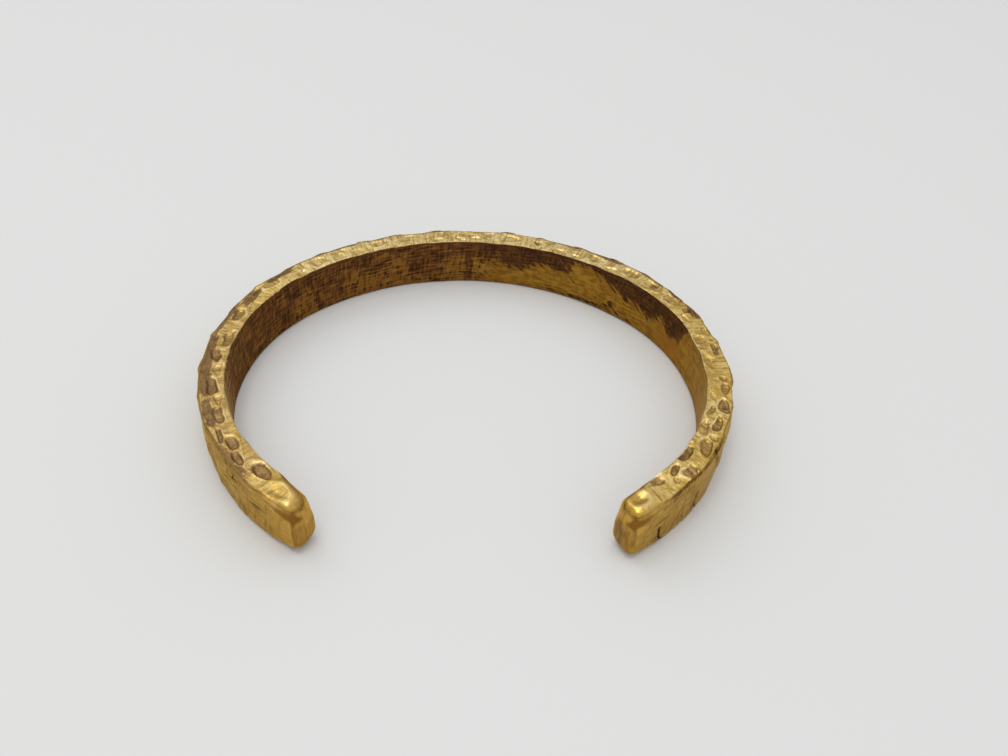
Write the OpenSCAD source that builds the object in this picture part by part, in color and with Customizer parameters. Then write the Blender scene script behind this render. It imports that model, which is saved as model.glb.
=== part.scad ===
// Open cuff bangle: one forged brass bar, bent to an oval C and hammered.
// It lies on its lower edge. The origin is under the middle of the oval, +Z is
// up through the wrist opening, and the gap between the two ends faces -Y.
// All lengths are in millimetres and all angles in degrees.

/* [Bar] */
// Width of the bar, which is its height as it lies
bar_h = 7.2; // [5:0.1:12]
// Thickness of the bar
bar_t = 3.4; // [2.6:0.1:5]
// Radius of the bar's long edges
edge_r = 0.7; // [0.3:0.05:1.2]
// Radius of the upright corners of the two ends
end_corner_r = 1.1; // [0.6:0.05:1.2]
// Radius of the ends' upper and lower corners
end_toe_r = 1.6; // [1.2:0.1:2]

/* [Outline] */
// Centreline radius of the back
back_r = 34; // [30:0.5:40]
// Turn of the back on each side of the middle
back_turn = 41; // [30:1:50]
// Centreline radius of each side
side_r = 25; // [22:0.5:29]
// Turn of each side
side_turn = 92; // [80:1:100]
// Centreline radius near each end
arm_r = 36; // [25:1:60]
// Turn near each end
arm_turn = 15; // [6:0.5:20]

/* [Hammer marks] */
// Distance between marks along each row on the two narrow edges
edge_pitch = 3.5; // [3:0.1:6]
// Distance between marks along each row on the outer face
face_pitch = 4.1; // [3.5:0.1:8]
// Number of rows of marks on the outer face
face_rows = 3; // [2:1:4]
// Radius of the hammer's ball
peen_r = 5.2; // [3:0.1:8]
// How much longer a mark is than it is wide
mark_stretch = 1.35; // [1:0.05:2]
// Depth of a mean mark
mark_depth = 0.2; // [0.05:0.01:0.3]
// Length at each end that the hammer leaves alone
plain_end = 4.5; // [3:0.1:8]

/* [Chisel cuts] */
// Depth of each upright cut in the outer face
cut_depth = 0.45; // [0.1:0.01:0.6]
// Width of each upright cut
cut_w = 0.5; // [0.3:0.05:0.8]
// Number of upright cuts near the right end
cuts = 4; // [1:1:6]
// Distance between the upright cuts
cut_pitch = 3.2; // [2.5:0.1:5]
// Distance from the right end to the first cut
first_cut = 4.4; // [4:0.1:10]
// Height to which the cuts rise from the lower edge
cut_top = 4.6; // [2:0.1:7]

/* [Hidden] */
brass = [0.72, 0.55, 0.24];

ring_step = 0.92;  // mean distance between sections along the bar
corner_steps = 3;  // facets round each long edge
edge_steps = 5;    // facets across each narrow edge
outer_steps = 9;   // facets up the outer face
inner_steps = 2;   // facets up the inner face
end_steps = 4;     // sections round each end

// The most that a mark strays from its place along and across, as shares of the pitch
// and of the row's offset, and that its ball's radius and its depth stray from the mean
stray_along = 0.22;
stray_across = 0.25;
stray_radius = 0.25;
stray_depth = 0.45;
row_spread = 0.56; // distance between the two rows of a narrow edge, as a share of bar_t

// ---- Centreline: three arcs on each side of the middle of the back ----
function arc_len(r, a) = r * a * PI / 180;
back_len = arc_len(back_r, back_turn);
side_len = arc_len(side_r, side_turn);
half_len = back_len + side_len + arc_len(arm_r, arm_turn);

// The point reached from p, with heading th, along an arc that turns by a.
// A heading is clockwise from +X, and the arc's centre is on the right.
function turned(p, th, r, a) =
    p + r * [sin(th + a) - sin(th), cos(th + a) - cos(th)];
back_end = turned([0, 0], 0, back_r, back_turn);
side_end = turned(back_end, back_turn, side_r, side_turn);

// Heading and point at a distance s from the middle of the back.
function heading(s) =
    s < back_len ? s / arc_len(back_r, 1)
    : s < back_len + side_len ? back_turn + (s - back_len) / arc_len(side_r, 1)
    : back_turn + side_turn + (s - back_len - side_len) / arc_len(arm_r, 1);
function point(s) =
    s < back_len ? turned([0, 0], 0, back_r, heading(s))
    : s < back_len + side_len ? turned(back_end, back_turn, side_r, heading(s) - back_turn)
    : turned(side_end, back_turn + side_turn, arm_r, heading(s) - back_turn - side_turn);

// The oval's middle is halfway between the back and the outer corner of an end.
corner_s = half_len - end_corner_r;
front_y = point(corner_s).y + cos(heading(corner_s)) * (bar_t / 2 - end_corner_r) - end_corner_r;
oval_y = -(bar_t / 2 + front_y) / 2;

// A point of the bar at distance s, negative on the left, u outward and z up.
function on_bar(s, u, z) =
    let (p = point(abs(s)), h = heading(abs(s)), side = sign(s))
    [(side < 0 ? -1 : 1) * (p.x + u * sin(h)), oval_y + p.y + u * cos(h), z];

// ---- Section: [u, z] points, anticlockwise seen from the right end ----
function corner(cu, cz, from) =
    [for (i = [0 : corner_steps]) let (a = from + 90 * i / corner_steps)
        [cu + edge_r * cos(a), cz + edge_r * sin(a)]];
// The points between a and b, without a and b themselves.
function between(a, b, n) = [for (i = [1 : n - 1]) a + (b - a) * i / n];
in_u = bar_t / 2 - edge_r;
section = concat(
    corner(-in_u, edge_r, 180),
    between([-in_u, 0], [in_u, 0], edge_steps),
    corner(in_u, edge_r, 270),
    between([bar_t / 2, edge_r], [bar_t / 2, bar_h - edge_r], outer_steps),
    corner(in_u, bar_h - edge_r, 0),
    between([in_u, bar_h], [-in_u, bar_h], edge_steps),
    corner(-in_u, bar_h - edge_r, 90),
    between([-bar_t / 2, bar_h - edge_r], [-bar_t / 2, edge_r], inner_steps));

// ---- Hammer marks ----
// A repeatable scatter from -1 to 1 for mark i of row k, different for each trait.
function wander(i, k, trait) =
    let (v = sin(i * 127.1 + (k + 40 * trait) * 311.7) * 437.585) 2 * (v - floor(v)) - 1;
// How far a ball of radius r, sunk d into a surface, leaves the surface raised
// (positive) or dented (negative) at a distance whose square is q2.
function ball(q2, r, d) = q2 < r * r ? r - d - sqrt(r * r - q2) : r;
// The lowest level that the marks of row k leave at distance s and at v across.
function row_level(s, v, k, middle, pitch, shift) =
    min([for (i = [floor(s / pitch) - 2 : floor(s / pitch) + 2])
        let (at = (i + shift + stray_along * wander(i, k, 0)) * pitch,
             across = middle * (1 + stray_across * wander(i, k, 1)))
        abs(at) > half_len - plain_end ? peen_r
        : ball(pow((s - at) / mark_stretch, 2) + pow(v - across, 2),
               peen_r * (1 + stray_radius * wander(i, k, 2)),
               mark_depth * (1 + stray_depth * wander(i, k, 3)))]);
// Two staggered rows on a narrow edge, numbered from k.
function edge_level(s, u, k) =
    min([for (row = [0, 1])
        row_level(s, u, k + row, (row - 0.5) * bar_t * row_spread, edge_pitch, row / 2)]);
// Rows on the outer face, measured up from the middle of the bar.
function face_level(s, z) =
    min([for (row = [0 : face_rows - 1])
        row_level(s, z - bar_h / 2, 10 + row,
                  bar_h * ((row + 0.5) / face_rows - 0.5), face_pitch, (row % 2) / 2)]);

// ---- Upright chisel cuts, near the right end ----
function cut_s(i) = half_len - first_cut - i * cut_pitch;
function cut_level(s, z) =
    z > cut_top ? 0
    : -cut_depth * max([for (i = [0 : cuts - 1]) max(0, 1 - abs(s - cut_s(i)) / (cut_w / 2))]);

// ---- Sections along the bar ----
// How far an edge of radius r has come in at a distance e from the end.
function end_inset(e, r) = e < r ? r - sqrt(r * r - pow(r - e, 2)) : 0;
end_gaps = [for (i = [0 : end_steps - 1]) end_toe_r * (1 - cos(90 * i / end_steps))];
first_s = half_len - end_toe_r;
plain_rings = round(2 * first_s / ring_step);
clear_of_cuts = cut_w * 0.9; // plain sections nearer than this to a cut are left out
plain_s = [for (i = [0 : plain_rings]) let (s = first_s * (2 * i / plain_rings - 1))
    if (min([for (c = [0 : cuts - 1]) abs(s - cut_s(c))]) > clear_of_cuts) s];
cut_rings = [for (c = [cuts - 1 : -1 : 0], e = [-1, 0, 1]) cut_s(c) + e * cut_w / 2];
function sorted(v) =
    len(v) < 2 ? v
    : let (m = v[floor(len(v) / 2)])
      concat(sorted([for (x = v) if (x < m) x]), [m], sorted([for (x = v) if (x > m) x]));
rings = concat([for (e = end_gaps) e - half_len],
               sorted(concat(plain_s, cut_rings)),
               [for (i = [end_steps - 1 : -1 : 0]) half_len - end_gaps[i]]);

// A section point, struck by the hammer and cut by the chisel, and drawn in at the ends.
function struck(s, c) =
    let (e = half_len - abs(s),
         outer = min(c.x, bar_t / 2 + min(face_level(s, c.y), cut_level(s, c.y))),
         z = max(min(c.y, bar_h + edge_level(s, c.x, 0)), -edge_level(s, c.x, 4)),
         u_share = 1 - end_inset(e, end_corner_r) / (bar_t / 2),
         z_share = 1 - end_inset(e, end_toe_r) / (bar_h / 2))
    on_bar(s, outer * u_share, bar_h / 2 + (z - bar_h / 2) * z_share);

module cuff() {
    n = len(section);
    last = len(rings) - 1;
    left_middle = len(rings) * n;
    right_middle = left_middle + 1;
    color(brass)
        polyhedron(
            points = concat([for (s = rings, c = section) struck(s, c)],
                            [for (s = [-half_len, half_len]) on_bar(s, 0, bar_h / 2)]),
            faces = concat(
                [for (j = [0 : n - 1]) [left_middle, j, (j + 1) % n]],
                [for (i = [0 : last - 1], j = [0 : n - 1])
                    [i * n + j, (i + 1) * n + j, i * n + (j + 1) % n]],
                [for (i = [0 : last - 1], j = [0 : n - 1])
                    [(i + 1) * n + j, (i + 1) * n + (j + 1) % n, i * n + (j + 1) % n]],
                [for (j = [0 : n - 1])
                    [right_middle, last * n + (j + 1) % n, last * n + j]]));
}

cuff();
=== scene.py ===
"""Looks of an open cuff bangle: one forged brass bar, hammered along its edges, worn bright
on its high spots and brown in its hollows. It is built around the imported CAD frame.

The bar is one grid mesh. A place on it is s, the distance in millimetres along the
centreline from the middle of the back, negative on the left, and a point [u, z] of the
section, u outward from the centreline and z up. Lengths are in millimetres until the
mesh is made, and Blender's own objects are in metres.
"""
import math

import bmesh
import bpy
import numpy as np
from mathutils import Matrix, Vector


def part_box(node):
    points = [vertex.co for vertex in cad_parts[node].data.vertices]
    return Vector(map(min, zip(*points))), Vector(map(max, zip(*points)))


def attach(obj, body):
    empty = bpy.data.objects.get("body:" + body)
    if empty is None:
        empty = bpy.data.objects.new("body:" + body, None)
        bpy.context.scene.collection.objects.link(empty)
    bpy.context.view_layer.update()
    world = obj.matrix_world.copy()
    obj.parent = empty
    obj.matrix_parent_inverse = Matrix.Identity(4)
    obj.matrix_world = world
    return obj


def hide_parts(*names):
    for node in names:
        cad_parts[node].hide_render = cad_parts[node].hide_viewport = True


MM = 0.001

# ---- The bar, as in the design -------------------------------------------------------
BAR_T = 3.4
BACK_R, BACK_TURN = 34.0, math.radians(41)
SIDE_R, SIDE_TURN = 25.0, math.radians(92)
ARM_R, ARM_TURN = 36.0, math.radians(15)

# ---- Rounding of the four long edges: along the bar, then near its ends ----------------
INNER_TOP_R, INNER_TOP_LEFT_R, INNER_TOP_RIGHT_R = 0.22, 1.45, 1.1
OUTER_TOP_R, OUTER_TOP_BACK_R, OUTER_TOP_END_R = 0.50, 0.85, 1.15
OUTER_LOW_R, OUTER_LOW_END_R = 0.50, 1.15
INNER_LOW_R, INNER_LOW_END_R = 0.35, 1.5
# Rounding of the two ends. The flat of an end starts within END_CORNER_R of it. The upright
# corners are rounder high up, at the knob, than low down, at the face
END_CORNER_R = 1.0
KNOB_CORNER_R, FACE_CORNER_R = 1.5, 0.75
LEFT_TOP_R, RIGHT_TOP_R = 1.9, 1.25
LEFT_TOP_SLOPE = 0.5  # how much rounder the left top is on its inner side
END_TOE_R = 1.6
CAP_HEIGHT = 0.35  # height of the innermost ring of an end's flat, as a share of the outermost
# Dimples in the tops of the ends: s, u, length, width
DIMPLES = [(71.7, -0.35, 1.9, 1.4), (-70.7, 0.4, 2.6, 1.7)]

# ---- Grid ----------------------------------------------------------------------------
RING_STEP = 0.181
END_RINGS = 12
CAP_RINGS = 5
INNER_STEPS = 20
TOP_STEPS = 27
OUTER_STEPS = 33
LOW_STEPS = 13
CORNER_STEPS = (4, 7, 6, 4)  # inner top, outer top, outer low, inner low

# ---- Marks on the top edge: s, u, length, width, depth, stain, turn in degrees ---------
# These are the marks that stand out, and smaller ones are scattered between them, as far as
# MARKED_LEN on each side. Stain is how brown the floor of a mark is, from 0 to 1.
MARKED_LEN = 68
RIGHT_MARKS = [
    (34.5, 0.35, 1.5, 1.0, 0.14, 0.7, 0),
    (35.8, -0.75, 2.1, 1.0, 0.12, 0.1, 0),
    (40.3, -0.85, 2.0, 1.8, 0.16, 0.25, 0),
    (40.7, 0.65, 0.6, 0.7, 0.14, 0.7, 0),
    (42.5, 0.5, 2.3, 1.1, 0.10, 0.3, -10),
    (44.8, -0.85, 3.1, 1.8, 0.16, 0.25, 0),
    (48.0, 0.4, 1.1, 1.3, 0.20, 0.75, 0),
    (49.6, 0.4, 1.7, 1.2, 0.20, 0.75, 0),
    (52.6, 0.5, 2.6, 1.2, 0.26, 0.85, 6),
    (53.9, -0.8, 2.6, 0.8, 0.18, 0.6, -8),
    (55.9, 0.45, 2.5, 1.2, 0.26, 0.7, 3),
    (57.3, -0.9, 2.8, 1.3, 0.20, 0.35, 0),
    (58.3, 0.5, 1.1, 0.9, 0.18, 0.6, -20),
    (60.2, 0.2, 2.8, 1.6, 0.30, 0.6, 22),
    (62.1, -1.4, 3.0, 1.7, 0.34, 0.95, 0),
    (64.2, 0.7, 2.4, 1.6, 0.26, 0.55, 20),
    (65.3, -0.75, 2.0, 1.0, 0.26, 0.85, 15),
    (66.5, 0.3, 1.0, 0.5, 0.12, 0.5, 35),
    (68.6, -1.3, 2.9, 1.8, 0.26, 0.65, 0),
]
LEFT_MARKS = [
    (-37.9, -0.1, 2.4, 1.3, 0.22, 0.7, 0),
    (-42.6, -0.75, 3.3, 1.2, 0.24, 0.6, 0),
    (-46.0, -0.2, 2.4, 1.3, 0.26, 1.0, 5),
    (-48.4, -0.75, 2.6, 0.9, 0.12, 0.05, 0),
    (-51.3, -0.2, 2.7, 1.5, 0.26, 1.0, 0),
    (-54.1, -0.75, 2.4, 0.9, 0.12, 0.05, 0),
    (-56.5, -0.4, 2.8, 1.1, 0.22, 0.8, 0),
    (-59.8, 0.5, 2.4, 0.8, 0.22, 0.9, -12),
    (-61.6, -0.25, 2.6, 1.3, 0.24, 0.8, 0),
    (-63.8, 0.25, 2.2, 0.9, 0.26, 1.0, -5),
    (-67.2, -0.45, 3.0, 1.2, 0.28, 0.9, 0),
]
BACK_MARKS = [
    (-30.5, 0.1, 2.4, 1.3, 0.10, 0.4, 0),
    (-22.6, 0.1, 2.8, 1.8, 0.14, 0.2, 0),
    (-13.5, 0.2, 2.6, 1.4, 0.10, 0.1, 0),
    (-9.0, 0.0, 3.0, 1.6, 0.10, 0.1, 0),
    (5.5, 0.0, 2.8, 1.9, 0.14, 0.1, 0),
    (9.6, 0.0, 1.4, 1.2, 0.14, 0.3, 0),
    (18.7, 0.1, 2.4, 1.9, 0.18, 0.25, 0),
    (24.2, 0.1, 2.7, 1.8, 0.16, 0.25, 0),
    (28.2, 0.2, 2.9, 2.3, 0.22, 0.15, 0),
    (31.9, 0.1, 2.3, 1.8, 0.16, 0.3, 0),
]
# Soft brown stains on the top edge: s, u, length, width, strength
TOP_STAINS = [
    (-64.0, 1.2, 8.0, 1.6, 0.65),
    (-56.0, 0.7, 6.0, 1.6, 0.75),
    (-49.8, 0.7, 9.0, 1.7, 1.0),
    (-45.0, 0.9, 8.0, 1.5, 1.0),
    (-39.0, 1.1, 8.0, 1.2, 0.8),
    (-34.0, 0.5, 5.0, 1.8, 0.75),
    (-28.5, 0.9, 6.0, 1.8, 0.75),
    (-19.0, 1.5, 14.0, 1.4, 0.75),
    (-6.0, 1.6, 9.0, 1.2, 0.6),
    (9.6, 0.1, 1.6, 1.6, 0.3),
    (14.0, 1.4, 5.0, 1.3, 0.8),
    (20.0, 1.4, 6.0, 1.6, 0.85),
    (27.0, 1.5, 7.0, 1.4, 0.9),
    (28.2, 0.2, 1.4, 1.2, 0.7),
    (31.5, 1.4, 4.0, 1.6, 0.9),
    (35.2, 1.0, 3.0, 1.8, 0.85),
    (39.0, 1.5, 3.5, 1.2, 0.7),
    (42.6, 0.6, 3.4, 1.4, 0.5),
    (58.0, 1.4, 12.0, 0.7, 0.4),
]

# ---- Cuts in the outer face: s, z from, z to, depth, width, lean ----------------------
CHISEL_CUTS = [
    (69.5, -0.5, 3.3, 0.50, 0.42, 0.25),
    (65.9, -0.5, 6.6, 0.14, 0.40, 0.10),
    (63.3, -0.5, 4.2, 0.42, 0.45, 0.20),
    (59.8, 5.2, 7.6, 0.40, 0.60, 0.30),
    (65.7, 5.4, 7.6, 0.22, 0.35, 0.10),
    (-65.9, -0.5, 2.4, 0.22, 0.40, 0.30),
    (-64.4, 4.9, 6.6, 0.20, 0.40, -0.40),
    (-67.9, 5.4, 6.6, 0.10, 0.35, -0.30),
]
# Hammered facets of the outer face: rows as shares of the height, from where to where along
# the bar, and the distance from one to the next
FACET_ROWS = (0.94, 0.52, 0.12)
FACET_SPAN = (-66, 60)
FACET_STEP = 1.75
# Lines along the outer face: s from, s to, z, depth, width
LONG_LINES = [
    (-70.2, -61.0, 3.7, 0.32, 0.45),
    (-66.0, -54.0, 5.2, 0.22, 0.40),
    (-63.5, -50.0, 2.4, 0.22, 0.40),
    (-60.0, -46.0, 3.9, 0.20, 0.40),
]

# ---- Patina of the inner face ----------------------------------------------------------
# It is dark above this line: s, z
DARK_EDGE = [
    (-52, 0.0), (-29, 0.0), (-28, 4.6), (-25.4, 5.0), (-24.6, 0.0), (-21, 0.0), (-20, 4.4),
    (-18, 5.0), (-16.6, 3.6), (-14.6, 4.2), (-13, 5.4), (-10, 5.0), (-9.2, 1.6), (-4.6, 1.4),
    (-3.8, 5.0), (-1.0, 5.2), (-0.6, 0.8), (-0.1, 0.8), (0.3, 4.8), (2.5, 4.0), (4, 4.8),
    (6, 3.4), (8, 3.6), (10, 4.4), (12, 5.0), (13.5, 4.4), (15.4, 4.9), (16.3, 6.8), (19, 6.5),
    (21, 5.8), (23, 5.0), (25, 4.4), (27, 4.2), (29, 3.4), (31, 4.1), (32.2, 5.0), (33.5, 4.2),
    (35, 3.6), (36.8, 4.2), (38.4, 7.0), (39, 9.0)]
# Darker spots and lines: s, z, length, height, strength
DARK_SPOTS = [
    (22.7, 2.0, 1.3, 1.3, 0.8),
    (21.5, 2.4, 0.5, 0.6, 0.8),
    (18.0, 0.6, 22.0, 0.7, 0.66),
    (23.0, 1.2, 9.0, 0.5, 0.6),
    (12.0, 1.5, 6.0, 0.4, 0.4),
    (1.2, 4.0, 0.6, 6.0, 0.6),
]
# Places with an orange tint
WARM_SPOTS = [
    (34.5, 2.0, 8.0, 4.5, 0.9),
    (-44.0, 3.0, 6.0, 6.0, 0.9),
    (-27.0, 1.0, 8.0, 2.4, 0.5),
    (-17.0, 1.2, 9.0, 2.6, 0.6),
    (3.0, 1.0, 8.0, 1.6, 0.4),
]

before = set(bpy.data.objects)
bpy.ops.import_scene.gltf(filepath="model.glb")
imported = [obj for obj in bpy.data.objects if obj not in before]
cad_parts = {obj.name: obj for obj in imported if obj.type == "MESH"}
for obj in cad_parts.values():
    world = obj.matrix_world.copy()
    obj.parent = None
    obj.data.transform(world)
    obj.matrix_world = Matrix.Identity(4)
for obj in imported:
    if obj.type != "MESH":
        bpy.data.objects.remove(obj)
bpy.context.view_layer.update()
cuff_low, cuff_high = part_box("cuff")
BAR_H = (cuff_high.z - cuff_low.z) / MM
BACK_Y = cuff_high.y / MM - BAR_T / 2  # the centreline's y in the middle of the back
BACK_LEN = BACK_R * BACK_TURN
SIDE_LEN = SIDE_R * SIDE_TURN
HALF_LEN = BACK_LEN + SIDE_LEN + ARM_R * ARM_TURN


# ---- Helpers -------------------------------------------------------------------------
def smooth(low, high, x):
    """0 below low, 1 above high, and a smooth step between them."""
    t = np.clip((x - low) / (high - low), 0, 1)
    return t * t * (3 - 2 * t)


def noise(x, y, size, seed):
    """Smooth noise from -1 to 1 over the plane, with features about size across."""
    grid = np.random.default_rng(seed).uniform(-1, 1, (64, 64))
    x, y = x / size, y / size
    i, j = np.floor(x).astype(int), np.floor(y).astype(int)
    fx, fy = smooth(0, 1, x - i), smooth(0, 1, y - j)
    near = grid[i % 64, j % 64] * (1 - fx) + grid[(i + 1) % 64, j % 64] * fx
    far = grid[i % 64, (j + 1) % 64] * (1 - fx) + grid[(i + 1) % 64, (j + 1) % 64] * fx
    return near * (1 - fy) + far * fy


# ---- Centreline ----------------------------------------------------------------------
def arc(x, y, heading, radius, turn):
    """The point reached from (x, y) along an arc that turns clockwise."""
    return (x + radius * (np.sin(heading + turn) - np.sin(heading)),
            y + radius * (np.cos(heading + turn) - np.cos(heading)))


def centreline(s):
    """x, y and heading at each distance s from the middle of the back."""
    a = np.abs(s)
    side_x, side_y = arc(0, BACK_Y, 0, BACK_R, BACK_TURN)
    arm_x, arm_y = arc(side_x, side_y, BACK_TURN, SIDE_R, SIDE_TURN)
    back_turn = a / BACK_R
    side_turn = (a - BACK_LEN) / SIDE_R
    arm_turn = (a - BACK_LEN - SIDE_LEN) / ARM_R
    back = arc(0, BACK_Y, 0, BACK_R, back_turn)
    side = arc(side_x, side_y, BACK_TURN, SIDE_R, side_turn)
    arm = arc(arm_x, arm_y, BACK_TURN + SIDE_TURN, ARM_R, arm_turn)
    on_back, on_side = a < BACK_LEN, a < BACK_LEN + SIDE_LEN
    x = np.where(on_back, back[0], np.where(on_side, side[0], arm[0]))
    y = np.where(on_back, back[1], np.where(on_side, side[1], arm[1]))
    heading = np.where(on_back, back_turn,
                       np.where(on_side, BACK_TURN + side_turn, BACK_TURN + SIDE_TURN + arm_turn))
    sign = np.where(s < 0, -1, 1)
    return sign * x, y, sign * heading


# ---- Section -------------------------------------------------------------------------
CORNER_STARTS = (180, 90, 0, 270)  # the angle at which each corner of the section starts


def corner(u, z, radius, k):
    """Columns of points of the section's corner k, a quarter round that turns clockwise."""
    angles = math.radians(CORNER_STARTS[k]) - np.linspace(0, math.pi / 2, CORNER_STEPS[k] + 1)
    radius = radius[:, None]
    return np.stack([u[:, None] + radius * np.cos(angles), z[:, None] + radius * np.sin(angles)], 2)


def loop_of(inner_top, outer_top, outer_low, inner_low, run):
    """The section's columns in order, with run(a, b, steps) between corners."""
    return np.concatenate([
        inner_top, run(inner_top, outer_top, TOP_STEPS),
        outer_top, run(outer_top, outer_low, OUTER_STEPS),
        outer_low, run(outer_low, inner_low, LOW_STEPS),
        inner_low, run(inner_low, inner_top, INNER_STEPS)], 1)


def between(a, b, steps):
    """Columns of points between the last column of a and the first of b, without those."""
    share = (np.arange(1, steps) / steps)[None, :, None]
    return a[:, -1:] * (1 - share) + b[:, :1] * share


def sections(s):
    """The bar's section at each place s: up the inner face, over the top and down outside."""
    t = BAR_T / 2
    near_end = smooth(5.5, 1.5, HALF_LEN - np.abs(s))
    at_back = smooth(50, 25, np.abs(s))
    worn = 1 + 0.35 * noise(s, s * 0, 3.5, 41)
    inner_end_r = np.where(s < 0, INNER_TOP_LEFT_R, INNER_TOP_RIGHT_R)
    inner_top_r = INNER_TOP_R + (inner_end_r - INNER_TOP_R) * near_end
    outer_top_r = (OUTER_TOP_R + (OUTER_TOP_BACK_R - OUTER_TOP_R) * at_back) * worn
    outer_top_r = outer_top_r + (OUTER_TOP_END_R - outer_top_r) * near_end
    outer_low_r = OUTER_LOW_R + (OUTER_LOW_END_R - OUTER_LOW_R) * near_end
    inner_low_r = INNER_LOW_R + (INNER_LOW_END_R - INNER_LOW_R) * near_end
    return loop_of(corner(inner_top_r - t, BAR_H - inner_top_r, inner_top_r, 0),
                   corner(t - outer_top_r, BAR_H - outer_top_r, outer_top_r, 1),
                   corner(t - outer_low_r, outer_low_r, outer_low_r, 2),
                   corner(inner_low_r - t, inner_low_r, inner_low_r, 3), between)


def distance_round():
    """The distance round the section at which each column lies, in the middle of the back."""
    steps = np.linalg.norm(np.diff(sections(np.zeros(1))[0], axis=0), axis=1)
    return np.concatenate([[0], np.cumsum(steps)])


def facing():
    """Which way each column of the section faces: outward and upward, from -1 to 1."""
    none, one = np.zeros(1), np.ones(1)
    corners = [corner(none, none, one, k) for k in range(4)]
    return np.moveaxis(loop_of(*corners, between), 2, 0)


# ---- Marks ---------------------------------------------------------------------------
def scattered_marks(seed, pitch, half_width, depth, stain, skip=()):
    """Marks in two staggered rows along a narrow edge, except near the marks in skip."""
    rng = np.random.default_rng(seed)
    marks = []
    for i, s in enumerate(np.arange(-MARKED_LEN, MARKED_LEN, pitch / 2)):
        row = 1 if i % 2 else -1
        u = row * half_width * rng.uniform(0.3, 0.6)
        s = s + rng.uniform(-0.2, 0.2) * pitch
        size = 0.8 * rng.uniform(0.6, 1.0)
        length, width = size * pitch, size * half_width
        taken = any(abs(s - m[0]) < (m[2] + length) / 2 and abs(u - m[1]) < (m[3] + width) / 2
                    for m in skip)
        if not taken:
            marks.append((s, u, length, width, depth * rng.uniform(0.6, 1.2),
                          stain * rng.uniform(0, 1), rng.uniform(-20, 20)))
    return marks


def outer_facets():
    """Broad shallow marks of the outer face, in rows one above another."""
    rng = np.random.default_rng(9)
    facets = []
    for i, at in enumerate(np.arange(*FACET_SPAN, FACET_STEP)):
        row_z = BAR_H * FACET_ROWS[i % len(FACET_ROWS)]
        facets.append((at + rng.uniform(-0.6, 0.6), row_z + rng.uniform(-0.4, 0.4),
                       rng.uniform(3.8, 5.6), rng.uniform(2.8, 3.8), rng.uniform(0.12, 0.30),
                       rng.uniform(0, 1), rng.uniform(-15, 15)))
    return facets


def stamp(s, v, marks, seed):
    """What marks do to a face at the places (s, v): the level of the surface, how far inside
    a mark each place is (above 0 inside), and that mark's stain and the side of it."""
    level, inside = np.zeros(s.shape), np.full(s.shape, -1.0)
    lip, stain, side = np.zeros(s.shape), np.zeros(s.shape), np.zeros(s.shape)
    wobble = 0.16 * noise(s, v, 0.5, seed)
    s = s + 0.36 * noise(s, v, 1.3, seed + 1)
    v = v + 0.24 * noise(s, v, 1.1, seed + 2)
    for at, across, length, width, depth, brown, turn in marks:
        near = np.abs(s - at) < length
        along, over = s[near] - at, v[near] - across
        cos, sin = math.cos(math.radians(turn)), math.sin(math.radians(turn))
        x = 2 * (along * cos + over * sin) / length
        y = 2 * (over * cos - along * sin) / width
        # tapered one way or the other, and squarer on the left
        y = y / (1 + 0.4 * math.sin(5.3 * at) * np.clip(x, -1.2, 1.2))
        power = 2.1 + smooth(0, -20, at)
        q = (np.abs(x) ** power + np.abs(y) ** power) ** (1 / power) + wobble[near]
        floor = -depth * (1 - smooth(0.60, 1.02, q)) * (1 + 0.35 * y + 0.2 * x * math.cos(at * 3.1))
        level[near] = np.minimum(level[near], floor)
        lip[near] = np.maximum(lip[near], 0.22 * depth * np.exp(-((q - 1.15) / 0.15) ** 2))
        better = (1 - q) > inside[near]
        inside[near] = np.where(better, 1 - q, inside[near])
        stain[near] = np.where(better, brown, stain[near])
        side[near] = np.where(better, y, side[near])
    return level + lip * smooth(-0.02, -0.2, inside), inside, stain, side


def cuts_in_outer(s, z):
    """How deep the upright cuts and the long lines go into the outer face."""
    cut = np.zeros(s.shape)
    for at, z0, z1, depth, width, lean in CHISEL_CUTS:
        middle = at + lean * (z - (z0 + z1) / 2) * 0.5 + 0.10 * noise(z, z, 0.8, 31)
        reach = smooth(z0, z0 + 0.3, z) * smooth(z1, z1 - 0.8, z)
        cut = np.maximum(cut, reach * depth * np.clip(1 - np.abs(s - middle) / (width / 2), 0, 1))
    for s0, s1, z0, depth, width in LONG_LINES:
        middle = z0 + 0.35 * noise(s, z * 0 + z0, 4.0, 32)
        reach = smooth(s0, s0 + 1.5, s) * smooth(s1, s1 - 1.5, s)
        cut = np.maximum(cut, reach * depth * np.clip(1 - np.abs(z - middle) / (width / 2), 0, 1))
    return cut


def soft_patches(s, v, patches):
    """How much soft patches (place along, place across, length, width, strength) cover."""
    bare = np.ones(s.shape)
    for at, across, length, width, strength in patches:
        q = np.sqrt((2 * (s - at) / length) ** 2 + (2 * (v - across) / width) ** 2)
        bare = bare * (1 - np.minimum(1, strength * (1 - smooth(0.45, 1.25, q))))
    return 1 - bare


def patina_of_inner(s, z):
    """How likely each place of the inner face is to be dark, before it is made streaky."""
    edge = np.interp(s + 0.3 * noise(s, z, 1.0, 51), *zip(*DARK_EDGE))
    left = smooth(4, -8, s)
    band = (0.96 - 0.34 * left) * smooth(-1.8, 1.2, z - edge) * smooth(-56, -44, s)
    streaked = 0.42 * smooth(12, -4, s) * smooth(-52, -44, s)
    return np.maximum(band + (1 - band) * streaked, soft_patches(s, z, DARK_SPOTS))


# ---- Shape ---------------------------------------------------------------------------
FACES_IT = 0.01  # a column belongs to a face when it belongs to it by more than this


def end_inset(e, radius):
    """How far a face has come in at the distance e from the end."""
    e = np.clip(e, 0, radius)
    return radius - np.sqrt(np.maximum(0, radius ** 2 - (radius - e) ** 2))


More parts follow.
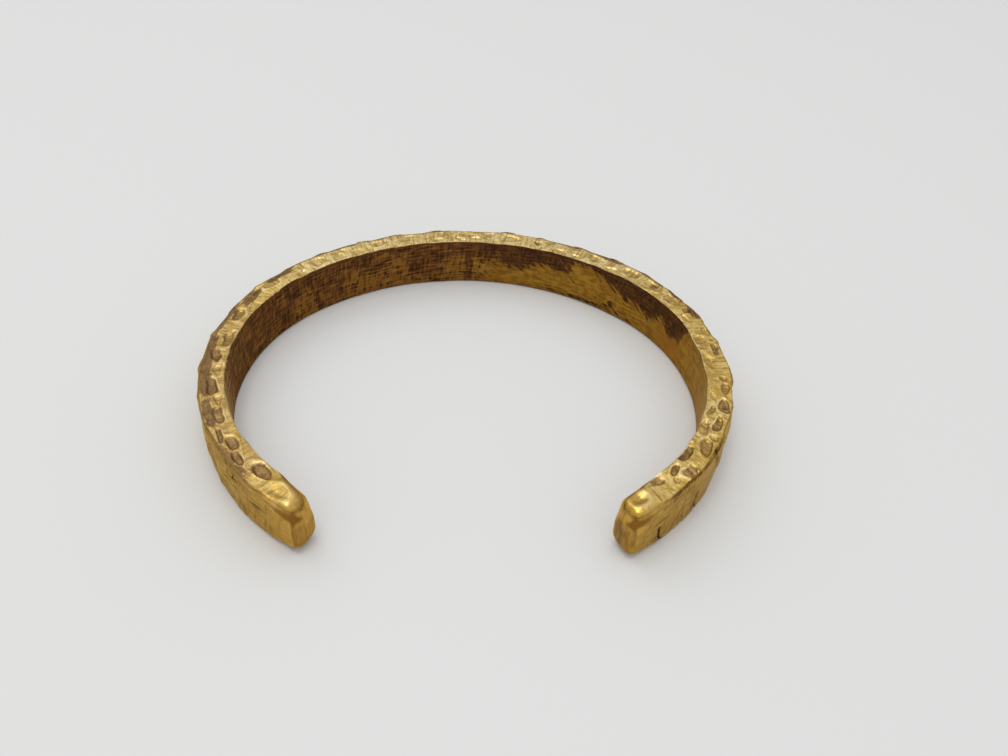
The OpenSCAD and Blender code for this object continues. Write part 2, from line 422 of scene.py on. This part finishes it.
def ring_places():
    """The place s of each ring, and how much of its width it keeps, 1 or less on the caps."""
    reach = LEFT_TOP_R + LEFT_TOP_SLOPE
    body = np.linspace(-HALF_LEN + reach, HALF_LEN - reach,
                       int(2 * (HALF_LEN - reach) / RING_STEP))
    ends = HALF_LEN - reach * (1 - np.cos(np.linspace(math.pi / 2, 0, END_RINGS + 1)[1:]))
    cap_share = np.linspace(1, 0, CAP_RINGS + 1)[1:]
    s = np.concatenate([np.full(CAP_RINGS, -HALF_LEN), -ends[::-1], body, ends,
                        np.full(CAP_RINGS, HALF_LEN)])
    share = np.concatenate([cap_share[::-1], np.ones(len(s) - 2 * CAP_RINGS), cap_share])
    return s, share


def shaped_bar():
    """The whole surface as arrays with one row a ring and one column a section point: the
    points, and the named layers of numbers that the material reads."""
    places, cap_share = ring_places()
    base = sections(places)
    u, z = base[:, :, 0], base[:, :, 1]
    s = np.repeat(places[:, None], u.shape[1], 1)
    share = np.repeat(cap_share[:, None], u.shape[1], 1)
    e = HALF_LEN - np.abs(s)
    half_t = BAR_T / 2
    calm = smooth(3.2, 6.0, e)  # the hammer leaves the ends alone

    # how much each point belongs to each face
    outward, upward = facing()
    on_top, on_low = smooth(0, 0.8, upward), smooth(0, 0.8, -upward)
    on_outer, on_inner = smooth(0, 0.8, outward), smooth(0, 0.8, -outward)

    # top edge
    named = RIGHT_MARKS + LEFT_MARKS + BACK_MARKS
    top_marks = named + scattered_marks(5, 3.0, half_t, 0.12, 0.35, named)
    level, inside, stain, side = stamp(s, u, top_marks, 11)
    roll = 0.07 * noise(s, u, 2.6, 21) + 0.04 * noise(s, u, 1.0, 22)
    low_back = -0.26 * np.exp(-(s / 30) ** 2)
    knob = 0.14 * np.exp(-((e - 2.2) / 2.0) ** 2) - 0.10 * np.exp(-((e - 6.0) / 1.3) ** 2)
    for at, across, length, width in DIMPLES:
        q = np.sqrt((2 * (s - at) / length) ** 2 + (2 * (u - across) / width) ** 2)
        knob = knob - 0.30 * np.exp(-(q / 0.8) ** 2) + 0.09 * np.exp(-((q - 1.4) / 0.4) ** 2)
    top_level = (level + roll) * calm + low_back + knob

    # lower edge
    low_marks = scattered_marks(6, 3.6, half_t, 0.22, 1.0)
    low_level, low_inside, low_stain, low_side = stamp(s, u, low_marks, 12)
    low_wave = 0.05 * noise(s, u, 2.5, 23) - 0.05

    # outer face: broad hammered facets, which also scallop both rims
    facet_level, facet_inside, facet_stain, _ = stamp(s, z, outer_facets(), 13)
    arm_calm = smooth(5, 14, e)
    outer_level = facet_level * (0.25 + 0.75 * arm_calm) + 0.05 * noise(s, z, 1.6, 24)

    cut = cuts_in_outer(s, z)
    outer_level = outer_level - cut
    inner_level = 0.04 * noise(s, z, 5.0, 25) + 0.02 * noise(s, z, 1.5, 26)
    notched = (noise(s, z * 0, 2.4, 27) - 0.6) * smooth(BAR_H - 2.2, BAR_H - 0.1, z) * calm
    inner_level = inner_level + 0.11 * notched

    # put the levels on the section: the top edge's above the middle of the height, and the
    # lower edge's below it
    middle_z = BAR_H / 2
    new_z = np.where(z > middle_z, np.minimum(z, BAR_H + top_level), z)
    new_z = new_z + on_top * np.maximum(top_level, 0)
    low_rise = np.maximum(0, -(low_level + low_wave))
    new_z = np.where(z < middle_z, np.maximum(new_z, low_rise * calm), new_z)
    new_u = u + on_outer * outer_level - on_inner * inner_level

    # round off the ends
    cap = np.clip(1 - e / END_CORNER_R, 0, 1)
    top_r = np.where(s < 0, LEFT_TOP_R - LEFT_TOP_SLOPE * u / half_t, RIGHT_TOP_R)
    # the rings of an end's flat get smaller, and the last one closes to a point
    height_share = np.where(share > 0, CAP_HEIGHT + (1 - CAP_HEIGHT) * share, 0)
    top_share = (1 - end_inset(e, top_r) / middle_z) * height_share
    toe_share = (1 - end_inset(e, END_TOE_R) / middle_z) * height_share
    corner_r = FACE_CORNER_R + (KNOB_CORNER_R - FACE_CORNER_R) * smooth(3.2, 6.4, z)
    new_u = new_u * (1 - end_inset(e, corner_r) / half_t) * share
    new_z = middle_z + (new_z - middle_z) * np.where(z > middle_z, top_share, toe_share)

    # the ends are upset: a soft lip overhangs the outer face, with a groove below it
    upset = smooth(6.0, 0.5, e)
    lip_z = BAR_H - 0.9 - 0.4 * smooth(4.0, 0.0, e) + 0.15 * noise(s, s * 0, 1.7, 34)
    groove = upset * np.exp(-((z - lip_z) / 0.65) ** 2)
    lip = 0.20 * upset * smooth(lip_z, lip_z + 0.7, z) - 0.14 * groove
    new_u = new_u + lip * np.sqrt(1 - cap ** 2) * on_outer
    x, y, heading = centreline(s)
    ahead = np.sign(s) * 0.04 * cap * noise(new_u + 5, new_z + s, 1.5, 33)
    points = np.stack([x + new_u * np.sin(heading) + ahead * np.cos(heading),
                       y + new_u * np.cos(heading) - ahead * np.sin(heading), new_z], 2)

    # orange brown goes in the groove, and thinly down the upright corner
    crevice = 1.2 * groove * smooth(5.0, 0.8, e) * (0.3 + 0.7 * smooth(-0.1, 0.4, e))
    corner_line = 0.6 * np.exp(-((e - 0.45) / 0.2) ** 2) * smooth(0.6, 3.0, z)
    knob_edge = np.maximum(2 * np.abs(outward * upward), smooth(1.9, 0.6, e)) * (1 - calm)
    under, over = on_low > FACES_IT, on_top > FACES_IT
    on_end = smooth(0.2, 0.8, cap)
    smudge = np.exp(-((new_u + 0.25) / 0.7) ** 2) * smooth(5.6, 4.2, new_z)
    layers = {
        "pit": np.where(under, low_inside, np.where(over, inside, -1)) * calm + calm - 1,
        "pit_stain": np.where(under, low_stain, stain),
        "pit_side": np.where(under, low_side, side),
        "top_stain": soft_patches(s, u, TOP_STAINS) * on_top,
        "cut": cut * on_outer,
        "inner": on_inner * (1 - on_end),
        "outer": on_outer * (1 - on_end),
        "top": on_top,
        "rim": -2 * outward * upward * calm,
        "end": smooth(5.0, 1.0, e),
        "smudge": on_end * (s > 0) * smudge,
        "patina": patina_of_inner(s, z),
        "warm": soft_patches(s, z, WARM_SPOTS),
        "facet": np.where(on_outer > 0, facet_inside, -1),
        "facet_stain": facet_stain,
        "groove": (crevice + corner_line) * share ** 6 * on_outer,
        "knob_edge": knob_edge * smooth(4.0, 5.6, z),
        "cap": on_end,
        # where a painted highlight goes on the rounded tops of the knobs
        "crest_highlight": smooth(0.08, 0.20, knob) * on_top * smooth(0.8, 1.8, e),
        "s": s,
        "g": distance_round(),
    }
    return points, {name: np.broadcast_to(values, s.shape) for name, values in layers.items()}


# ---- Mesh ----------------------------------------------------------------------------
def cuff_mesh():
    points, layers = shaped_bar()
    rings, around = points.shape[:2]
    mesh = bpy.data.meshes.new("hammered_cuff")
    index = np.arange(rings * around).reshape(rings, around)
    a, b = index[:-1], index[1:]
    faces = np.stack([a, np.roll(a, -1, 1), np.roll(b, -1, 1), b], 2).reshape(-1, 4)
    mesh.from_pydata((points.reshape(-1, 3) * MM).tolist(), [], faces.tolist())
    for name, values in layers.items():
        layer = mesh.attributes.new(name, "FLOAT", "POINT")
        layer.data.foreach_set("value", values.astype(np.float32).ravel())
    bm = bmesh.new()
    bm.from_mesh(mesh)
    bmesh.ops.remove_doubles(bm, verts=bm.verts, dist=0.002 * MM)
    bmesh.ops.recalc_face_normals(bm, faces=bm.faces)
    bm.to_mesh(mesh)
    bm.free()
    mesh.shade_smooth()
    return mesh


# ---- Material ------------------------------------------------------------------------
class Nodes:
    """Builds a node tree with one call a node."""

    def __init__(self, tree):
        self.tree = tree

    def add(self, kind, settings=None, **inputs):
        node = self.tree.nodes.new(kind)
        for key, value in (settings or {}).items():
            setattr(node, key, value)
        for key, value in inputs.items():
            self.feed(node.inputs[key.replace("_", " ")], value)
        return node

    def feed(self, socket, value):
        if isinstance(value, bpy.types.NodeSocket):
            self.tree.links.new(value, socket)
        else:
            socket.default_value = value

    def layer(self, name):
        return self.add("ShaderNodeAttribute", {"attribute_name": name}).outputs["Fac"]

    def maths(self, operation, *values):
        node = self.add("ShaderNodeMath", {"operation": operation})
        for socket, value in zip(node.inputs, values):
            self.feed(socket, value)
        return node.outputs[0]

    def ramp(self, value, low, high, to_low=0.0, to_high=1.0):
        """A smooth step of value between low and high."""
        node = self.add("ShaderNodeMapRange", {"interpolation_type": "SMOOTHSTEP"})
        for socket, item in zip(node.inputs, (value, low, high, to_low, to_high)):
            self.feed(socket, item)
        return node.outputs["Result"]

    def mix(self, share, a, b):
        node = self.add("ShaderNodeMix", {"data_type": "RGBA"})
        self.feed(node.inputs["Factor"], share)
        for socket, value in ((node.inputs[6], a), (node.inputs[7], b)):
            self.feed(socket, value if isinstance(value, bpy.types.NodeSocket) else (*value, 1))
        return node.outputs[2]

    def noise(self, place, detail, roughness=0.5):
        """Noise from 0 to 1 with features about one unit across."""
        node = self.add("ShaderNodeTexNoise", Vector=place, Scale=1.0, Detail=detail,
                        Roughness=roughness)
        return node.outputs["Fac"]

    def place(self, s, g, s_scale, g_scale, turn=0.0):
        """Texture coordinates on the bar's surface, turned by turn and then stretched."""
        joined = self.add("ShaderNodeCombineXYZ", X=s, Y=g).outputs[0]
        turned = self.add("ShaderNodeVectorRotate", {"rotation_type": "Z_AXIS"}, Vector=joined,
                          Angle=turn).outputs[0]
        return self.stretch(turned, s_scale, g_scale)

    def stretch(self, vector, x, y, z=1.0):
        node = self.add("ShaderNodeVectorMath", {"operation": "MULTIPLY"})
        self.feed(node.inputs[0], vector)
        self.feed(node.inputs[1], (x, y, z))
        return node.outputs[0]

    def blend(self, share, a, b):
        """The number a where share is 0 and b where it is 1."""
        node = self.add("ShaderNodeMix", {"data_type": "FLOAT"})
        for socket, value in ((node.inputs[0], share), (node.inputs[2], a), (node.inputs[3], b)):
            self.feed(socket, value)
        return node.outputs[0]

    def times(self, *values):
        """The product of any number of values."""
        product = values[0]
        for value in values[1:]:
            product = self.maths("MULTIPLY", product, value)
        return product

    def plus(self, *values):
        """The sum of any number of values."""
        total = values[0]
        for value in values[1:]:
            total = self.maths("ADD", total, value)
        return total

    def swing(self, texture, amount):
        """A texture's swing about its middle, from -amount / 2 to amount / 2."""
        return self.times(self.maths("SUBTRACT", texture, 0.5), amount)


# the pale gold of the painted highlights and of the painted reflection at the back
HIGHLIGHT_GOLD = (0.92, 0.72, 0.34)
GOLD_BRIGHT = (0.86, 0.62, 0.22)
GOLD = (0.62, 0.405, 0.098)
GOLD_DULL = (0.36, 0.215, 0.048)
OUTER_GOLD = (0.47, 0.270, 0.045)
MARK_BROWN = (0.33, 0.195, 0.070)
MARK_DARK = (0.175, 0.095, 0.045)
# the dark of stains, also used for the painted shade in the hammer marks
STAIN_BROWN = (0.23, 0.120, 0.055)
STAIN_AND_SHADE_DARK = (0.085, 0.042, 0.024)
RIM_DARK = (0.070, 0.050, 0.036)
FILM_BROWN = (0.36, 0.225, 0.105)
INNER_GOLD = (0.42, 0.220, 0.030)
INNER_DULL = (0.230, 0.108, 0.014)
INNER_ORANGE = (0.36, 0.140, 0.018)
INNER_RUSSET = (0.27, 0.115, 0.026)
INNER_BROWN = (0.205, 0.080, 0.024)
INNER_DARK = (0.042, 0.015, 0.011)
ORANGE_BROWN = (0.21, 0.085, 0.013)
END_GOLD = (0.66, 0.385, 0.075)
END_FACE = (0.37, 0.195, 0.038)
GRAZING_TINT = (1.0, 0.86, 0.60)  # colour of what the brass reflects at a grazing angle
SCRATCH_DEPTH = 0.16 * MM


def brass_material():
    material = bpy.data.materials.new("aged_brass")
    material.use_nodes = True
    tree = material.node_tree
    tree.nodes.clear()
    n = Nodes(tree)
    times, plus, swing = n.times, n.plus, n.swing
    s, g = n.layer("s"), n.layer("g")
    inner, outer, rim, cap, end = (n.layer(name) for name in ("inner", "outer", "rim", "cap", "end"))
    off_middle = n.maths("ABSOLUTE", s)

    # textures, all from 0 to 1 and mostly near the middle, in millimetres. Here s is the distance
    # along the bar and g the distance round it. Hatch and slant run across the bar and
    # lengthwise along it, but on the ends' flats, where s and g are of no use, they stand upright
    spot = n.stretch(n.add("ShaderNodeTexCoord").outputs["Object"], 1 / MM, 1 / MM, 1 / MM)
    upright = n.noise(n.stretch(spot, 2.0, 2.0, 0.5), 4, 0.65)
    hatch = n.blend(cap, n.noise(n.place(s, g, 2.6, 0.45, 0.08), 5, 0.65), upright)
    slant = n.blend(cap, n.noise(n.place(s, g, 2.0, 0.35, 0.55), 4, 0.6), upright)
    lengthwise = n.blend(cap, n.noise(n.place(s, g, 0.35, 2.8), 5, 0.65), upright)
    mottle = n.noise(n.stretch(spot, 0.9, 0.9, 0.9), 5, 0.7)
    blotch = n.noise(n.stretch(spot, 0.25, 0.25, 0.25), 3)
    grain = n.noise(n.stretch(spot, 3.5, 3.5, 3.5), 4, 0.7)

    # gold, worn bright in places and dull in others, with a painted reflection that makes it palest
    # at the back
    bright = n.ramp(plus(times(mottle, 0.6), times(blotch, 0.4)), 0.43, 0.57)
    gold = n.mix(bright, GOLD, GOLD_BRIGHT)
    # painted reflection: the top edge is paler at the back, as if it mirrored a bright wall behind
    # the cuff
    at_back = n.ramp(off_middle, 34, 20)
    gold = n.mix(times(at_back, n.ramp(mottle, 0.38, 0.54, 0.2, 1.0)), gold, HIGHLIGHT_GOLD)
    gold = n.mix(times(n.ramp(hatch, 0.48, 0.64), 0.85), gold, GOLD_DULL)
    gold = n.mix(times(n.ramp(grain, 0.50, 0.36), 0.5), gold, GOLD_DULL)
    gold = n.mix(times(outer, n.ramp(lengthwise, 0.40, 0.60, 0.5, 1.0)), gold, OUTER_GOLD)
    # painted highlight on the crests of the knobs
    gold = n.mix(times(n.layer("crest_highlight"), 0.8), gold, HIGHLIGHT_GOLD)
    inner_gold = n.mix(n.ramp(plus(times(lengthwise, 0.5), times(mottle, 0.5)), 0.42, 0.58),
                       INNER_DULL, INNER_GOLD)
    inner_gold = n.mix(times(n.layer("warm"), 0.7), inner_gold, INNER_ORANGE)
    inner_gold = n.mix(n.ramp(s, 10, -14, 0.0, 0.6), inner_gold, INNER_RUSSET)
    base = n.mix(inner, gold, inner_gold)

    # hammer marks: a brown floor, painted shade as a dark line on the outer wall, and a painted
    # highlight as a bright line on the ridge of the inner side
    pit_side, pit_stain = n.layer("pit_side"), n.layer("pit_stain")
    edge = plus(n.layer("pit"), swing(mottle, 0.35))
    stain = plus(pit_stain, swing(hatch, 2.2), swing(mottle, 1.6))
    floor_brown = times(n.ramp(edge, 0.00, 0.26), n.ramp(stain, 0.05, 1.0))
    floor_colour = n.mix(n.ramp(plus(mottle, times(pit_stain, 0.25)), 0.66, 0.86),
                         MARK_BROWN, MARK_DARK)
    base = n.mix(floor_brown, base, floor_colour)
    wall = times(n.ramp(edge, -0.05, 0.05), n.ramp(edge, 0.26, 0.10))
    # painted shade: a dark line on the outer wall of each mark, stronger where the mark is browner
    shaded_wall_line = times(wall, n.ramp(pit_side, 0.0, 0.8), n.ramp(pit_stain, 0.0, 0.8, 0.15, 0.8),
                      n.ramp(mottle, 0.40, 0.55, 0.3, 1.0))
    base = n.mix(shaded_wall_line, base, STAIN_AND_SHADE_DARK)
    # painted highlight: a pale line along the ridge on the inner side of each mark
    ridge_highlight = times(n.ramp(edge, -0.40, -0.20), n.ramp(edge, 0.02, -0.06),
                  n.ramp(pit_side, 0.6, -0.4), n.layer("top"),
                  n.ramp(plus(times(mottle, 0.5), times(blotch, 0.5)), 0.42, 0.55, 0.1, 0.9))
    base = n.mix(ridge_highlight, base, HIGHLIGHT_GOLD)

    # soft stains on the top edge, with fine cracks along it, and a thin film on the left arm
    top_stain = n.layer("top_stain")
    top_brown = plus(top_stain, swing(lengthwise, 2.0), swing(mottle, 1.4))
    top_brown = times(n.ramp(top_brown, 0.30, 0.65), n.ramp(top_stain, 0.02, 0.15))
    stain_colour = n.mix(n.ramp(lengthwise, 0.42, 0.56), STAIN_AND_SHADE_DARK, STAIN_BROWN)
    base = n.mix(times(top_brown, 0.9), base, stain_colour)
    film = times(n.ramp(s, -32, -42), n.ramp(s, -70, -65), n.layer("top"), 0.32)
    base = n.mix(film, base, FILM_BROWN)

    # rims: the inner one carries a painted highlight, the outer one is brown on the arms and dark
    # in stretches along the back
    base = n.mix(times(n.ramp(rim, 0.35, 0.9), 0.8), base, HIGHLIGHT_GOLD)
    rim_brown = times(n.ramp(rim, -0.30, -0.85), n.ramp(off_middle, 44, 52),
                      n.ramp(mottle, 0.38, 0.56, 0.1, 0.8))
    base = n.mix(rim_brown, base, ORANGE_BROWN)
    stretches = plus(times(blotch, 0.5), times(mottle, 0.5), times(hatch, 0.3))
    rim_dark = times(n.ramp(rim, -0.35, -0.9), n.ramp(stretches, 0.58, 0.76),
                     n.ramp(off_middle, 48, 36, 0.25, 0.9))
    base = n.mix(rim_dark, base, RIM_DARK)

    # patina of the inner face: streaks along and across it are woven on the left and at the
    # back, and on the right a solid dark band has slanting strokes at its edge
    across = n.noise(n.place(s, g, 2.8, 0.45, 0.15), 3, 0.6)
    along = n.noise(n.place(s, g, 0.35, 3.3, -0.05), 3, 0.6)
    strokes = n.noise(n.place(s, g, 2.3, 0.28, -0.90), 3, 0.5)
    woven = plus(times(across, 0.45), times(along, 0.55))
    on_left = n.ramp(s, 14, -6)
    streaks = swing(n.blend(on_left, strokes, woven), n.blend(on_left, 2.0, 3.6))
    browned = n.maths("SUBTRACT", plus(n.layer("patina"), streaks, swing(mottle, 1.8)), 0.5)
    browned = times(browned, n.blend(on_left, 1.0, 0.75))
    inner_brown = times(n.ramp(browned, -0.24, 0.24), inner)
    depth = plus(times(woven, 0.8), times(mottle, 0.2))
    darkest = n.ramp(depth, n.blend(on_left, 0.34, 0.44), n.blend(on_left, 0.58, 0.60))
    base = n.mix(times(inner_brown, 0.95), base, n.mix(darkest, INNER_BROWN, INNER_DARK))

    # outer face: facets a little browner with gold ridges between them, and scratched dirt
    facet, facet_stain = n.layer("facet"), n.layer("facet_stain")
    outer_brown = times(n.ramp(plus(facet, swing(mottle, 1.0)), -0.1, 0.35),
                        n.ramp(facet_stain, 0.2, 1.0), outer, 0.6)
    base = n.mix(outer_brown, base, MARK_BROWN)
    facet_ridge = times(n.ramp(facet, -0.30, -0.06), n.ramp(mottle, 0.42, 0.58, 0.0, 0.6), outer)
    base = n.mix(facet_ridge, base, GOLD)
    scratches = n.blend(n.ramp(blotch, 0.44, 0.56), hatch, lengthwise)
    dirt = times(n.ramp(plus(times(scratches, 0.7), times(mottle, 0.3)), 0.48, 0.62), outer)
    base = n.mix(times(dirt, n.ramp(s, 30, 55, 0.75, 0.95)), base, STAIN_BROWN)
    slanting = times(n.ramp(slant, 0.54, 0.64), outer, n.ramp(s, 40, 52, 0.15, 0.75),
                     n.ramp(s, 74, 71))
    base = n.mix(slanting, base, STAIN_AND_SHADE_DARK)

    # ends: brighter gold at the knobs and edges, orange brown in the grooves, a dark smudge on
    # the right end's flat. Then the cuts, which are dark everywhere
    base = n.mix(times(end, n.ramp(mottle, 0.35, 0.65, 0.1, 0.7)), base, END_GOLD)
    base = n.mix(times(cap, 0.8), base, END_FACE)
    knob_edge = times(n.layer("knob_edge"), n.ramp(mottle, 0.35, 0.60, 0.15, 0.8))
    base = n.mix(knob_edge, base, END_GOLD)
    groove = n.ramp(plus(n.layer("groove"), swing(mottle, 0.8)), 0.12, 0.8)
    base = n.mix(times(groove, 0.85), base, ORANGE_BROWN)
    base = n.mix(times(cap, n.ramp(upright, 0.46, 0.66, 0.0, 0.45)), base, ORANGE_BROWN)
    smudge = times(n.layer("smudge"), n.ramp(upright, 0.38, 0.58, 0.3, 0.95))
    base = n.mix(smudge, base, MARK_DARK)
    base = n.mix(n.ramp(n.layer("cut"), 0.05, 0.20), base, INNER_DARK)

    # brown places are rougher, and the ends are smoother and less scratched
    brown = n.maths("MAXIMUM", n.maths("MAXIMUM", inner_brown, floor_brown),
                    n.maths("MAXIMUM", outer_brown, top_brown))
    rough = plus(n.ramp(brown, 0, 1, 0.36, 0.54), times(inner, 0.05), swing(grain, 0.25))
    rough = n.maths("SUBTRACT", rough, times(end, 0.12))
    height = plus(times(hatch, 0.6), times(grain, 0.3), times(lengthwise, 0.3))
    bump = n.add("ShaderNodeBump", Strength=n.ramp(end, 0, 1, 0.7, 0.35), Distance=SCRATCH_DEPTH,
                 Height=height)

    shader = n.add("ShaderNodeBsdfPrincipled", Metallic=1.0)
    shader.inputs["Specular Tint"].default_value = (*GRAZING_TINT, 1)
    n.feed(shader.inputs["Base Color"], base)
    n.feed(shader.inputs["Roughness"], rough)
    n.feed(shader.inputs["Normal"], bump.outputs[0])
    out = n.add("ShaderNodeOutputMaterial")
    tree.links.new(shader.outputs[0], out.inputs[0])
    return material


def plain_material(name, colour, roughness):
    material = bpy.data.materials.new(name)
    material.use_nodes = True
    shader = material.node_tree.nodes["Principled BSDF"]
    shader.inputs["Base Color"].default_value = (*colour, 1)
    shader.inputs["Roughness"].default_value = roughness
    return material


# ---- Cuff ----------------------------------------------------------------------------
cuff = bpy.data.objects.new("cuff_bracelet", cuff_mesh())
bpy.context.scene.collection.objects.link(cuff)
cuff.data.materials.append(brass_material())
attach(cuff, "root")
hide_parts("cuff")


# ---- Floor ---------------------------------------------------------------------------
FLOOR_SIZE = 4.0
floor_mesh = bpy.data.meshes.new("floor")
half = FLOOR_SIZE / 2
floor_mesh.from_pydata([(-half, -half, 0), (half, -half, 0), (half, half, 0), (-half, half, 0)],
                       [], [(0, 1, 2, 3)])
floor = bpy.data.objects.new("floor", floor_mesh)
bpy.context.scene.collection.objects.link(floor)
floor.data.materials.append(plain_material("pale_floor", (0.80, 0.80, 0.785), 0.6))


# ---- Light ---------------------------------------------------------------------------
def soft_light(name, place, size, power):
    """A square lamp that faces the middle of the cuff. Its size is in metres."""
    lamp = bpy.data.lights.new(name, "AREA")
    lamp.size = size
    lamp.energy = power
    thing = bpy.data.objects.new(name, lamp)
    bpy.context.scene.collection.objects.link(thing)
    thing.location = place
    thing.rotation_euler = (-Vector(place)).to_track_quat("-Z", "Y").to_euler()


soft_light("window", (-0.45, 0.45, 0.70), 0.6, 0.6)
soft_light("ceiling", (-0.04, 0.0, 0.8), 0.42, 1.2)
soft_light("bulb", (-0.12, -0.10, 0.6), 0.10, 0.20)


HORIZON = (0.50, 0.50, 0.50)
ZENITH = (0.95, 0.96, 0.97)
WORLD_STRENGTH = 0.76


def studio_world():
    """An even pale room, brighter overhead than at the horizon."""
    world = bpy.data.worlds.new("studio")
    world.use_nodes = True
    n = Nodes(world.node_tree)
    way = n.add("ShaderNodeTexCoord").outputs["Generated"]
    height = n.add("ShaderNodeSeparateXYZ", Vector=way).outputs["Z"]
    background = world.node_tree.nodes["Background"]
    n.feed(background.inputs["Color"], n.mix(n.ramp(height, 0.05, 0.75), HORIZON, ZENITH))
    n.feed(background.inputs["Strength"], WORLD_STRENGTH)
    return world


bpy.context.scene.world = studio_world()
bpy.context.scene.view_settings.view_transform = "Standard"


# ---- Camera --------------------------------------------------------------------------
LENS, SENSOR = 32.857, 36.0  # focal length and sensor width
ELEVATION, AZIMUTH, ROLL = math.radians(43.0), math.radians(-3.1), math.radians(3.45)
DISTANCE = 115.6
AIM = Vector((0, BACK_Y - 27.0, 4.0))  # a point near the front of the opening
ASIDE = 4.46  # how far the camera stands to the right of AIM

back = Vector((math.sin(AZIMUTH) * math.cos(ELEVATION), -math.cos(AZIMUTH) * math.cos(ELEVATION),
               math.sin(ELEVATION)))
level_right = Vector((math.cos(AZIMUTH), math.sin(AZIMUTH), 0))
level_up = back.cross(level_right)
right = level_right * math.cos(ROLL) + level_up * math.sin(ROLL)
up = level_up * math.cos(ROLL) - level_right * math.sin(ROLL)
eye = (AIM + back * DISTANCE + right * ASIDE) * MM
camera_data = bpy.data.cameras.new("camera")
camera_data.sensor_width = SENSOR
camera_data.lens = LENS
camera_data.clip_start = 0.005
camera = bpy.data.objects.new("camera", camera_data)
camera.matrix_world = Matrix((
    (right.x, up.x, back.x, eye.x),
    (right.y, up.y, back.y, eye.y),
    (right.z, up.z, back.z, eye.z),
    (0, 0, 0, 1)))
bpy.context.scene.collection.objects.link(camera)
bpy.context.scene.camera = camera
